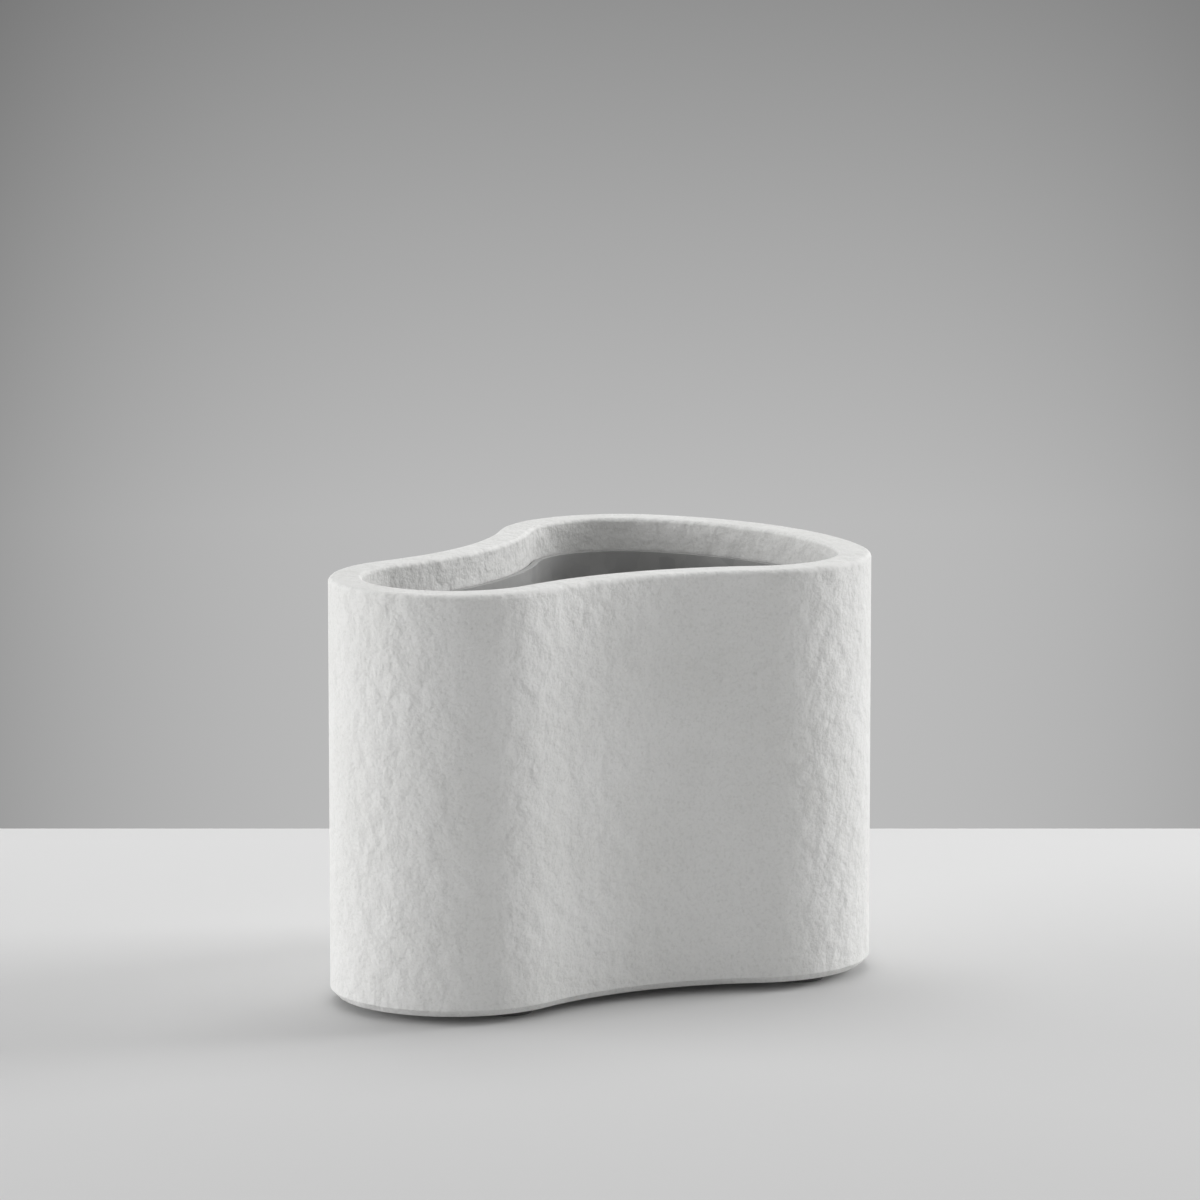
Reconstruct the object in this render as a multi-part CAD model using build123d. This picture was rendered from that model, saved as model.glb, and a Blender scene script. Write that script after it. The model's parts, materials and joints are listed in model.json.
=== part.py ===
from build123d import *
import os

# Sizes are in millimetres. The long axis is X, towards the broad end. The floor is z = 0.

# Plan outline: a round small end, two broad shoulders, hollow flanks and a bowed broad end
small_end_radius = 44.5
shoulder_radius = 45.5
shoulder_offset = 32.0
shoulder_distance = 114.0
broad_end_radius = 113.0
flank_radius = 110.0

# Vase body
body_height = 150.0
wall_thickness = 12.0
floor_thickness = 12.0
rim_outer_rounding = 2.0
rim_inner_rounding = 1.5
base_bevel = 2.5

# Water liner
liner_recess = 12.0
liner_clearance = 0.7
liner_sheet = 1.2
liner_hem_height = 6.0
liner_lap_width = 10.0
liner_lap_shortfall = 2.0

# Foot pads
pad_diameter = 18.0
pad_thickness = 3.0
pad_edge_distance = 18.0

# Centres of the outline's arcs, placed so that the outline is centred on the origin
end_centre_setback = ((broad_end_radius - shoulder_radius) ** 2 - shoulder_offset**2) ** 0.5
end_reach = broad_end_radius - end_centre_setback
overall_length = small_end_radius + shoulder_distance + end_reach
small_end_centre = Vector(small_end_radius - overall_length / 2, 0)
shoulder_centre = Vector(small_end_centre.X + shoulder_distance, shoulder_offset)
broad_end_centre = Vector(shoulder_centre.X - end_centre_setback, 0)


def outer_tangent_centre(first, first_radius, second, second_radius, radius):
    """Centre of the arc that touches two circles from outside, left of the way from first to second."""
    span = second - first
    to_first = first_radius + radius
    to_second = second_radius + radius
    along = (to_first**2 - to_second**2 + span.length**2) / (2 * span.length)
    across = (to_first**2 - along**2) ** 0.5
    direction = span.normalized()
    left = Vector(-direction.Y, direction.X)
    return first + direction * along + left * across


flank_centre = outer_tangent_centre(
    small_end_centre, small_end_radius, shoulder_centre, shoulder_radius, flank_radius
)


def point_on_arc(centre, radius, towards):
    return centre + (towards - centre).normalized() * radius


def arc_between(centre, radius, start, end):
    middle = point_on_arc(centre, radius, (start + end) / 2)
    return ThreePointArc(start, middle, end)


def mirrored(point):
    return Vector(point.X, -point.Y)


def plan_outline(inset):
    """The plan outline as a face, moved inwards by inset all round."""
    flank_start = point_on_arc(small_end_centre, small_end_radius - inset, flank_centre)
    flank_end = point_on_arc(shoulder_centre, shoulder_radius - inset, flank_centre)
    end_start = point_on_arc(broad_end_centre, broad_end_radius - inset, shoulder_centre)
    small_end_tip = small_end_centre - Vector(small_end_radius - inset, 0)
    broad_end_tip = broad_end_centre + Vector(broad_end_radius - inset, 0)
    upper_flank = arc_between(flank_centre, flank_radius + inset, flank_start, flank_end)
    upper_shoulder = arc_between(shoulder_centre, shoulder_radius - inset, flank_end, end_start)
    small_end = ThreePointArc(mirrored(flank_start), small_end_tip, flank_start)
    broad_end = ThreePointArc(end_start, broad_end_tip, mirrored(end_start))
    lower_shoulder = mirror(upper_shoulder, about=Plane.XZ)
    lower_flank = mirror(upper_flank, about=Plane.XZ)
    edges = [small_end, upper_flank, upper_shoulder, broad_end, lower_shoulder, lower_flank]
    return make_face(edges)


def standing(face, bottom, height):
    """A face raised to the given level and extruded upwards."""
    return extrude(Pos(0, 0, bottom) * face, amount=height, dir=(0, 0, 1))


# How far the liner's hem and its wall stand in from the body's outline
liner_hem_inset = wall_thickness + liner_clearance
liner_inset = liner_hem_inset + liner_sheet

# Levels
body_bottom = pad_thickness
rim_level = body_bottom + body_height
well_floor_level = body_bottom + floor_thickness
liner_rim_level = rim_level - liner_recess
liner_wall_bottom = well_floor_level + liner_sheet
hem_bottom = liner_rim_level - liner_hem_height


def make_body():
    solid = standing(plan_outline(0), body_bottom, body_height)
    solid -= standing(plan_outline(wall_thickness), well_floor_level, body_height)
    rim = solid.faces().sort_by(Axis.Z)[-1]
    solid = fillet(rim.outer_wire().edges(), rim_outer_rounding)
    rim = solid.faces().filter_by(Plane.XY).sort_by(Axis.Z)[-1]
    solid = fillet(rim.inner_wires()[0].edges(), rim_inner_rounding)
    base = solid.faces().filter_by(Plane.XY).sort_by(Axis.Z)[0]
    return chamfer(base.outer_wire().edges(), base_bevel)


def make_liner_floor():
    return standing(plan_outline(liner_inset), well_floor_level, liner_sheet)


def standing_ring(outer_inset, inner_inset, bottom, height):
    """A wall that follows the plan outline between two insets."""
    ring = standing(plan_outline(outer_inset), bottom, height)
    return ring - standing(plan_outline(inner_inset), bottom, height)


def make_liner_lap():
    """Where the ends of the liner's strip lap at the small end, a second sheet stands inside the first."""
    height = hem_bottom - liner_lap_shortfall - liner_wall_bottom
    ring = standing_ring(liner_inset + liner_sheet, liner_inset + 2 * liner_sheet, liner_wall_bottom, height)
    lap_side = (Align.MAX, Align.CENTER, Align.MIN)
    window = Box(small_end_radius, liner_lap_width, height, align=lap_side)
    return ring & Pos(small_end_centre.X, 0, liner_wall_bottom) * window


def make_liner_wall():
    """The liner's strip, with its top edge folded over outwards into a flat hem."""
    height = liner_rim_level - liner_wall_bottom
    solid = standing_ring(liner_inset, liner_inset + liner_sheet, liner_wall_bottom, height)
    solid += standing_ring(liner_hem_inset, liner_inset, hem_bottom, liner_hem_height)
    return solid + make_liner_lap()


def make_foot_pad(place):
    return extrude(Pos(place.X, place.Y, 0) * Circle(pad_diameter / 2), amount=pad_thickness)


small_end_pad_offset = small_end_radius - pad_edge_distance
broad_end_pad_offset = shoulder_offset + shoulder_radius - pad_edge_distance
pad_places = {
    "foot_pad_small_end_left": Vector(small_end_centre.X, small_end_pad_offset),
    "foot_pad_small_end_right": Vector(small_end_centre.X, -small_end_pad_offset),
    "foot_pad_broad_end_left": Vector(shoulder_centre.X, broad_end_pad_offset),
    "foot_pad_broad_end_right": Vector(shoulder_centre.X, -broad_end_pad_offset),
}

os.makedirs("parts", exist_ok=True)
export_step(make_body(), "parts/vase_body.step")
export_step(make_liner_wall(), "parts/liner_wall.step")
export_step(make_liner_floor(), "parts/liner_floor.step")
for name, place in pad_places.items():
    export_step(make_foot_pad(place), "parts/" + name + ".step")
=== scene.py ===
import json
import math

import bpy
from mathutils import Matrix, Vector

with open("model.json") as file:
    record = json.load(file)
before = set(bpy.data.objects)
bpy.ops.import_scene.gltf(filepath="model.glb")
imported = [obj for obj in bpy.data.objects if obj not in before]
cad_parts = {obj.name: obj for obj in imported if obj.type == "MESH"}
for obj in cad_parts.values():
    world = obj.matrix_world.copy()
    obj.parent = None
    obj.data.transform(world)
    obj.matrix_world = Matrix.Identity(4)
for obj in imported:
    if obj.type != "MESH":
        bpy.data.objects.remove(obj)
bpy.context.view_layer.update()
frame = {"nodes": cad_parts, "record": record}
scene = bpy.context.scene
scene.view_settings.view_transform = "Standard"

# Camera, in metres, degrees and pixels
CAMERA_PLACE = (-1.7819, -1.8361, 0.5544)
CAMERA_TURN = -44.31
CAMERA_PITCH = 9.26
FOCAL_PIXELS = 7215.4
IMAGE_PIXELS = 1200
SENSOR_WIDTH = 36.0

camera_data = bpy.data.cameras.new("camera")
camera_data.sensor_width = SENSOR_WIDTH
camera_data.lens = SENSOR_WIDTH * FOCAL_PIXELS / IMAGE_PIXELS
camera = bpy.data.objects.new("camera", camera_data)
camera.location = CAMERA_PLACE
camera.rotation_euler = (math.radians(90 - CAMERA_PITCH), 0, math.radians(CAMERA_TURN))
scene.collection.objects.link(camera)
scene.camera = camera

# Directions of the main view, the first two level
turn = math.radians(CAMERA_TURN)
view_forward = Vector((-math.sin(turn), math.cos(turn), 0))
view_right = Vector((math.cos(turn), math.sin(turn), 0))
upwards = Vector((0, 0, 1))

# Sockets of a colour mix, which share their names with those for numbers
MIX_SHARE = 0
MIX_FIRST = 6
MIX_SECOND = 7
MIX_RESULT = 2


def feed(tree, node, inputs):
    """Links an output to each named socket, or sets a plain value on it."""
    for name, value in inputs.items():
        if isinstance(value, bpy.types.NodeSocket):
            tree.links.new(value, node.inputs[name])
        else:
            node.inputs[name].default_value = value


def add_node(tree, kind, inputs=None, **settings):
    """A node with the given properties, and outputs or plain values on its sockets."""
    node = tree.nodes.new(kind)
    for name, value in settings.items():
        setattr(node, name, value)
    feed(tree, node, inputs or {})
    return node


def new_material(name):
    material = bpy.data.materials.new(name)
    material.use_nodes = True
    tree = material.node_tree
    return material, tree, tree.nodes["Principled BSDF"]


def object_coordinates(tree):
    return add_node(tree, "ShaderNodeTexCoord").outputs["Object"]


def noise(tree, place, scale, detail, roughness=0.55):
    """Soft noise with the given number of lumps to the metre."""
    inputs = {"Vector": place, "Scale": scale, "Detail": detail, "Roughness": roughness}
    return add_node(tree, "ShaderNodeTexNoise", inputs).outputs["Fac"]


def ramp(tree, value, stops):
    """A colour ramp with (place, colour) stops."""
    node = add_node(tree, "ShaderNodeValToRGB", {"Fac": value})
    elements = node.color_ramp.elements
    while len(elements) < len(stops):
        elements.new(1.0)
    for element, (place, colour) in zip(elements, stops):
        element.position = place
        element.color = (*colour, 1.0)
    return node.outputs["Color"]


def value_range(tree, value, source, target):
    """A value carried over from one pair of limits to another and held there."""
    low, high = source
    to_low, to_high = target
    inputs = {"Value": value, "From Min": low, "From Max": high, "To Min": to_low, "To Max": to_high}
    return add_node(tree, "ShaderNodeMapRange", inputs).outputs["Result"]


def bump(tree, height, strength, depth, below=None):
    """A bumpy surface, on top of another where one is given."""
    inputs = {"Height": height, "Strength": strength, "Distance": depth}
    if below is not None:
        inputs["Normal"] = below
    return add_node(tree, "ShaderNodeBump", inputs).outputs["Normal"]


def multiply(tree, first, second, share):
    """Two colours multiplied, the second by a share only."""
    inputs = {MIX_SHARE: share, MIX_FIRST: first, MIX_SECOND: second}
    node = add_node(tree, "ShaderNodeMix", inputs, data_type="RGBA", blend_type="MULTIPLY")
    return node.outputs[MIX_RESULT]


def calculate(tree, operation, *values):
    """One step of arithmetic on outputs and plain numbers."""
    inputs = dict(enumerate(values))
    return add_node(tree, "ShaderNodeMath", inputs, operation=operation).outputs["Value"]


def along(tree, vector, direction):
    """How far a vector reaches in a direction."""
    inputs = {0: vector, 1: direction}
    return add_node(tree, "ShaderNodeVectorMath", inputs, operation="DOT_PRODUCT").outputs["Value"]


def grey(tone):
    return (tone, tone, tone)


# Body: lumps to the metre, depths in metres, and tones by place in the noise
CLOUD_SCALE = 22
CLOUD_TONES = [(0.3, (0.78, 0.78, 0.765)), (0.7, (0.83, 0.83, 0.82))]
GRAIN_SCALE = 900
GRAIN_DEPTH = 0.0003
GRAIN_LIMITS = (0.3, 0.7)
GRAIN_ROUGHNESS = (0.72, 0.9)
SPECK_TONES = [(0.25, (0.82, 0.82, 0.81)), (0.5, grey(1.0))]
SPECK_SHARE = 0.7
UNDULATION_SCALE = 140
UNDULATION_DEPTH = 0.0018
BODY_SPECULAR = 0.3


def make_body_material():
    """Matt, unglazed, off-white ceramic, hand-finished, with a sandy grain and faint clouding."""
    material, tree, shader = new_material("unglazed_ceramic")
    place = object_coordinates(tree)
    clouds = ramp(tree, noise(tree, place, CLOUD_SCALE, detail=3), CLOUD_TONES)
    grain = noise(tree, place, GRAIN_SCALE, detail=3, roughness=0.65)
    specks = ramp(tree, grain, SPECK_TONES)
    lumps = noise(tree, place, UNDULATION_SCALE, detail=4, roughness=0.5)
    undulation = bump(tree, lumps, strength=1.0, depth=UNDULATION_DEPTH)
    inputs = {
        "Base Color": multiply(tree, clouds, specks, SPECK_SHARE),
        "Roughness": value_range(tree, grain, GRAIN_LIMITS, GRAIN_ROUGHNESS),
        "Normal": bump(tree, grain, strength=0.45, depth=GRAIN_DEPTH, below=undulation),
        "Specular IOR Level": BODY_SPECULAR,
    }
    feed(tree, shader, inputs)
    return material


# Liner: cells and lumps to the metre, depths in metres, and tones by place in the pattern
SPANGLE_SCALE = 160.0
SPANGLE_TONES = [(0.0, grey(0.40)), (1.0, (0.47, 0.47, 0.465))]
SPANGLE_ROUGHNESS = (0.58, 0.72)
STAIN_SCALE = 35
STAIN_TONES = [(0.3, (0.78, 0.78, 0.77)), (0.65, grey(1.0))]
STAIN_SHARE = 0.8
SHEET_DENT_SCALE = 400
SHEET_DENT_DEPTH = 0.0002
LINER_METALLIC = 0.2


def make_liner_material():
    """Weathered zinc sheet with faint spangle and water stains."""
    material, tree, shader = new_material("weathered_zinc")
    place = object_coordinates(tree)
    cell_inputs = {"Vector": place, "Scale": SPANGLE_SCALE, "Randomness": 1.0}
    cells = add_node(tree, "ShaderNodeTexVoronoi", cell_inputs)
    spangle = add_node(tree, "ShaderNodeSeparateColor", {"Color": cells.outputs["Color"]})
    flake = spangle.outputs["Red"]
    metal = ramp(tree, flake, SPANGLE_TONES)
    stains = ramp(tree, noise(tree, place, STAIN_SCALE, detail=4), STAIN_TONES)
    dents = noise(tree, place, SHEET_DENT_SCALE, detail=2)
    inputs = {
        "Base Color": multiply(tree, metal, stains, STAIN_SHARE),
        "Roughness": value_range(tree, flake, (0, 1), SPANGLE_ROUGHNESS),
        "Normal": bump(tree, dents, strength=0.15, depth=SHEET_DENT_DEPTH),
        "Metallic": LINER_METALLIC,
    }
    feed(tree, shader, inputs)
    return material


# Foot pads: fibres to the metre, depth in metres, and tones by place in the noise
FIBRE_SCALE = 1500
FIBRE_TONES = [(0.3, grey(0.09)), (0.7, (0.17, 0.168, 0.165))]
FIBRE_DEPTH = 0.0004
FELT_ROUGHNESS = 0.95
FELT_SHEEN = 0.2


def make_pad_material():
    """Dark pressed felt."""
    material, tree, shader = new_material("dark_felt")
    fibres = noise(tree, object_coordinates(tree), FIBRE_SCALE, detail=4, roughness=0.7)
    inputs = {
        "Base Color": ramp(tree, fibres, FIBRE_TONES),
        "Normal": bump(tree, fibres, strength=0.6, depth=FIBRE_DEPTH),
        "Roughness": FELT_ROUGHNESS,
        "Sheen Weight": FELT_SHEEN,
    }
    feed(tree, shader, inputs)
    return material


slot_materials = {
    "body": make_body_material(),
    "liner": make_liner_material(),
    "pad": make_pad_material(),
}
for subpart in frame["record"]["subparts"]:
    node = frame["nodes"][subpart["node"]]
    node.data.materials.clear()
    node.data.materials.append(slot_materials[subpart["material_slot"]])

# Floor: a pale table top that ends a little behind the object, level in the main view, with painted
# light that makes it paler towards the back
FLOOR_BACK = 0.274
FLOOR_FRONT = 4.0
FLOOR_SIDE = 3.0
# Painted light: the floor is painted paler towards the back and darker towards the camera, standing
# in for how the light falls on it
FLOOR_PAINTED_LIGHT_DEPTHS = (-0.10, 0.25)
FLOOR_PAINTED_LIGHT_TONES = [(0.0, grey(0.675)), (1.0, grey(0.75))]
FLOOR_ROUGHNESS = 0.9
FLOOR_SPECULAR = 0.1


def make_floor_material_with_painted_light():
    """A matt top, paler towards the back: painted light, where the fall of light from the back
    towards the camera is painted into its colour.
    """
    material, tree, shader = new_material("table_top_painted_light")
    depth = along(tree, object_coordinates(tree), view_forward)
    # Painted light: the depth towards the back sets how pale the floor is painted
    painted_light_share = value_range(tree, depth, FLOOR_PAINTED_LIGHT_DEPTHS, (0.0, 1.0))
    inputs = {
        "Base Color": ramp(tree, painted_light_share, FLOOR_PAINTED_LIGHT_TONES),
        "Roughness": FLOOR_ROUGHNESS,
        "Specular IOR Level": FLOOR_SPECULAR,
    }
    feed(tree, shader, inputs)
    return material


floor_corners = [
    view_right * side + view_forward * depth
    for side, depth in (
        (-FLOOR_SIDE, -FLOOR_FRONT),
        (FLOOR_SIDE, -FLOOR_FRONT),
        (FLOOR_SIDE, FLOOR_BACK),
        (-FLOOR_SIDE, FLOOR_BACK),
    )
]
floor_mesh = bpy.data.meshes.new("floor")
floor_mesh.from_pydata(floor_corners, [], [(0, 1, 2, 3)])
floor_mesh.materials.append(make_floor_material_with_painted_light())
floor = bpy.data.objects.new("floor", floor_mesh)
scene.collection.objects.link(floor)

# World: a plain light for the object, and a grey backdrop that darkens upwards and to the sides
AMBIENT_FRONT = 0.475
AMBIENT_BACK = 0.59
AMBIENT_ABOVE = 0.38
BACKDROP_STOPS = [
    (-0.195, 0.50),
    (-0.150, 0.50),
    (-0.110, 0.385),
    (-0.078, 0.285),
]
BACKDROP_MIDDLE = 0.0065
BACKDROP_SIDE_FALL = 446.0
BACKDROP_SIDE_POWER = 3.0
BACKDROP_SIDE_LEAST = 0.66


def backdrop_colour(tree, direction):
    """Grey that darkens upwards."""
    lowest = BACKDROP_STOPS[0][0]
    highest = BACKDROP_STOPS[-1][0]
    rise = value_range(tree, along(tree, direction, upwards), (lowest, highest), (0.0, 1.0))
    stops = [((level - lowest) / (highest - lowest), grey(tone)) for level, tone in BACKDROP_STOPS]
    return ramp(tree, rise, stops)


def backdrop_strength(tree, direction):
    """Full in the middle, and less towards the sides."""
    from_middle = calculate(tree, "SUBTRACT", along(tree, direction, view_right), BACKDROP_MIDDLE)
    distance = calculate(tree, "ABSOLUTE", from_middle)
    curve = calculate(tree, "POWER", distance, BACKDROP_SIDE_POWER)
    fall = calculate(tree, "MULTIPLY_ADD", curve, -BACKDROP_SIDE_FALL, 1.0)
    return calculate(tree, "MAXIMUM", fall, BACKDROP_SIDE_LEAST)


def ambient_strength(tree, direction):
    """Light from the camera's side and from the far side, which fades towards straight above."""
    ahead = along(tree, direction, view_forward)
    around = value_range(tree, ahead, (-1.0, 1.0), (AMBIENT_FRONT, AMBIENT_BACK))
    return value_range(tree, along(tree, direction, upwards), (0.0, 1.0), (around, AMBIENT_ABOVE))


def looked_at(tree):
    """One where the backdrop itself is seen, also in metal and through glass, and else zero."""
    rays = add_node(tree, "ShaderNodeLightPath").outputs
    seen_or_mirrored = calculate(tree, "MAXIMUM", rays["Is Camera Ray"], rays["Is Glossy Ray"])
    return calculate(tree, "MAXIMUM", seen_or_mirrored, rays["Is Transmission Ray"])


def make_world():
    world = bpy.data.worlds.new("studio")
    world.use_nodes = True
    tree = world.node_tree
    tree.nodes.clear()
    direction = add_node(tree, "ShaderNodeTexCoord").outputs["Generated"]
    ambient_inputs = {"Color": (*grey(1.0), 1.0), "Strength": ambient_strength(tree, direction)}
    ambient = add_node(tree, "ShaderNodeBackground", ambient_inputs)
    backdrop_inputs = {
        "Color": backdrop_colour(tree, direction),
        "Strength": backdrop_strength(tree, direction),
    }
    backdrop = add_node(tree, "ShaderNodeBackground", backdrop_inputs)
    choice_inputs = {
        0: looked_at(tree),
        1: ambient.outputs["Background"],
        2: backdrop.outputs["Background"],
    }
    choice = add_node(tree, "ShaderNodeMixShader", choice_inputs)
    add_node(tree, "ShaderNodeOutputWorld", {"Surface": choice.outputs["Shader"]})
    return world


scene.world = make_world()

# Lamps: a soft box on each side of the object and one above it, a little behind it in the main view
LAMP_AIM = Vector((0, 0, 0.08))


def soft_box(name, turned, raised, distance, width, tall, power):
    """A soft box, in degrees, metres and watts.

    It is turned from the camera's side, to the right where positive, and raised from the level.
    """
    turned = math.radians(turned)
    raised = math.radians(raised)
    level = view_right * math.sin(turned) - view_forward * math.cos(turned)
    way = level * math.cos(raised) + upwards * math.sin(raised)
    data = bpy.data.lights.new(name, "AREA")
    data.shape = "RECTANGLE"
    data.size = width
    data.size_y = tall
    data.energy = power
    lamp = bpy.data.objects.new(name, data)
    lamp.location = LAMP_AIM + way * distance
    lamp.rotation_euler = way.to_track_quat("Z", "Y").to_euler()
    scene.collection.objects.link(lamp)


soft_box("lamp_left", turned=-91, raised=9, distance=2.2, width=2.0, tall=0.75, power=28.5)
soft_box("lamp_right", turned=112, raised=18, distance=2.2, width=0.88, tall=0.99, power=28.5)
soft_box("lamp_top", turned=180, raised=75, distance=1.2, width=0.8, tall=0.8, power=4.6)
